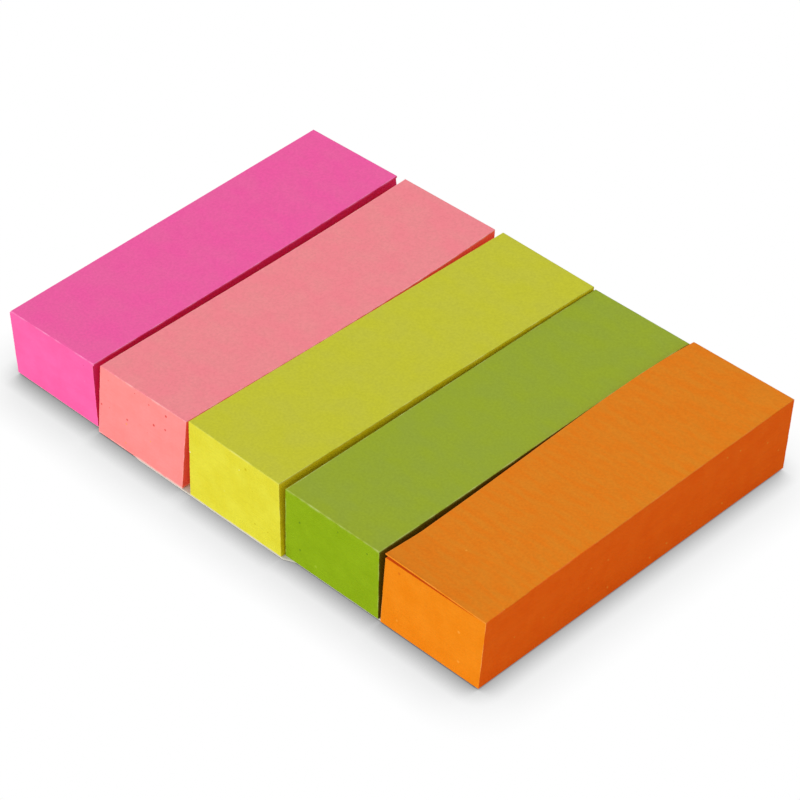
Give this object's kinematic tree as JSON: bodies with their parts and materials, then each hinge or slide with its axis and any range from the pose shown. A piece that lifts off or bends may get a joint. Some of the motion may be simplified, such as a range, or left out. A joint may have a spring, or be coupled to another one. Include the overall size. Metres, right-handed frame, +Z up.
{
  "type": "sticky notes",
  "caption": "Row of narrow page-marker pads, each a slightly leaning stack of self-stick paper strips, side by side on one thin backing card.",
  "frame": {"origin": "underside of the backing card, below the middle of the row's box", "axes": "+X along the row from the magenta pad to the orange pad, +Y along the sheets from their free end to their glued end, +Z up"},
  "size_m": [0.078, 0.051, 0.0108],
  "materials": {
    "card": "matte",
    "magenta_paper": "matte",
    "salmon_paper": "matte",
    "yellow_paper": "matte",
    "green_paper": "matte",
    "orange_paper": "matte"
  },
  "bodies": {
    "root": {"backing_card": "card", "magenta_pad": "magenta_paper", "salmon_pad": "salmon_paper", "yellow_pad": "yellow_paper", "green_pad": "green_paper", "orange_pad": "orange_paper", "orange_top_sheets": "orange_paper"}
  },
  "joints": []
}
